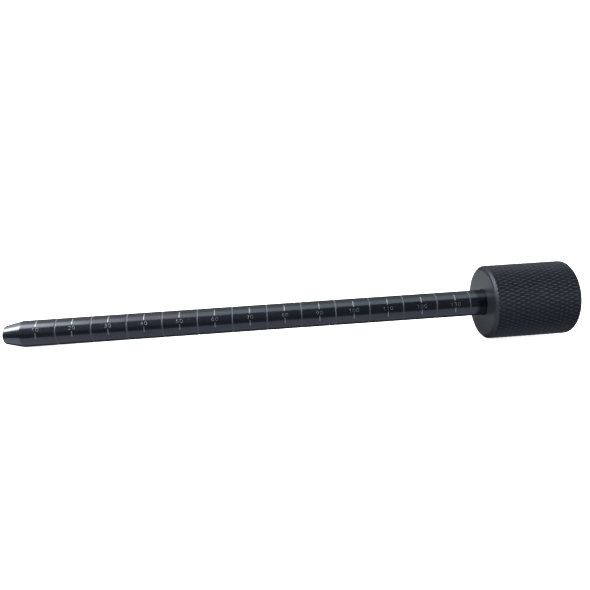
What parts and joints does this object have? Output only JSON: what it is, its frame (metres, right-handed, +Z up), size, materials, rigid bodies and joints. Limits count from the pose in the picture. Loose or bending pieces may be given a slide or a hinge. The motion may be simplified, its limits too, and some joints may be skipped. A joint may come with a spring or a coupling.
{
  "type": "ring sizer stick",
  "caption": "Straight parallel gauge stick with a tapered nose, ring lines and a millimetre scale along the shank, held in a knurled cylindrical knob.",
  "frame": {"origin": "centre of the flat tip face, the zero of the scale, so a point's X in millimetres is its reading", "axes": "+X along the shank from the tip to the knob, +Z up, the row of numbers facing -Y and up, at 29 degrees above -Y by its first number and 14 by its last, the set screw on +Y"},
  "size_m": [0.165, 0.022, 0.022],
  "materials": {
    "shank_steel": "glossy blue-black",
    "knob_aluminium": "satin slate-black anodised",
    "screw_steel": "black oxide",
    "scale_marks": "pale engraved marks"
  },
  "bodies": {
    "root": {"graduated_shank": "shank_steel", "knurled_knob": "knob_aluminium", "set_screw": "screw_steel"}
  },
  "joints": []
}
